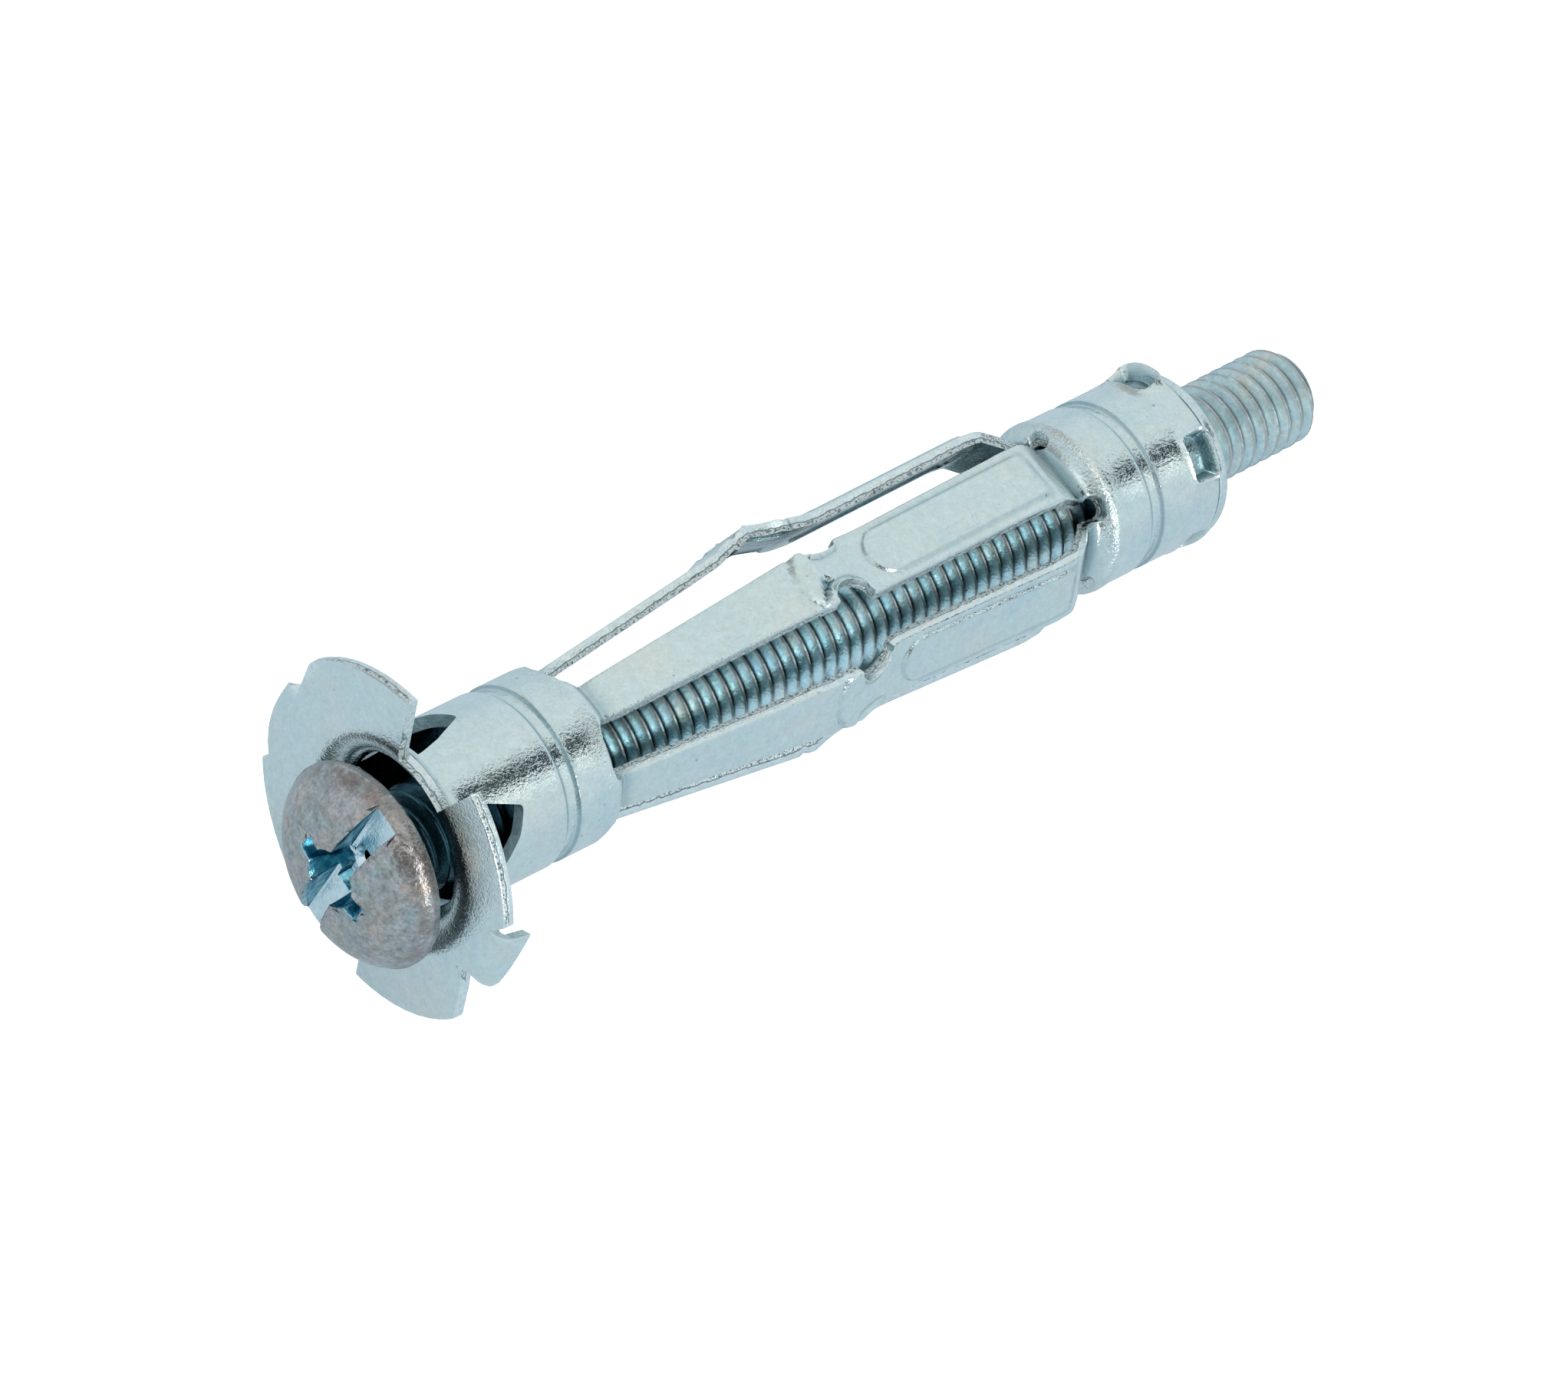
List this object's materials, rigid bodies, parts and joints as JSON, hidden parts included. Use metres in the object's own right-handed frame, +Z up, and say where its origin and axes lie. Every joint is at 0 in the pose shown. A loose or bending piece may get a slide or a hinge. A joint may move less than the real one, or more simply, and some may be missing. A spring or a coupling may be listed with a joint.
{
  "type": "hollow wall anchor",
  "caption": "Metal expansion anchor for hollow walls: slotted sheet sleeve with folding legs, two-petal flange with barbs, nut staked in its end and a pan-head machine screw.",
  "frame": {"origin": "centre of the bounding box at its base, on the surface that the anchor lies on", "axes": "+X from the screw's head toward its tip, along the anchor's length; +Z up; the anchor's own axis slopes down by 4.2 degrees toward the tip"},
  "size_m": [0.06, 0.0158, 0.0154],
  "materials": {
    "plated_sheet": "bright zinc plate with a cool blue cast",
    "plated_nut": "bright zinc plate",
    "plated_screw": "zinc plate with a faint iridescent tint"
  },
  "bodies": {
    "anchor": {"sleeve": "plated_sheet", "nut": "plated_nut"},
    "screw": {"screw": "plated_screw"}
  },
  "joints": [
    {"name": "screw_turn", "type": "hinge", "parent": "anchor", "child": "screw", "pos_m": [0.02002, 0, 0.00433], "axis": [0.9981, 0.0082, -0.0616], "continuous": true}
  ]
}
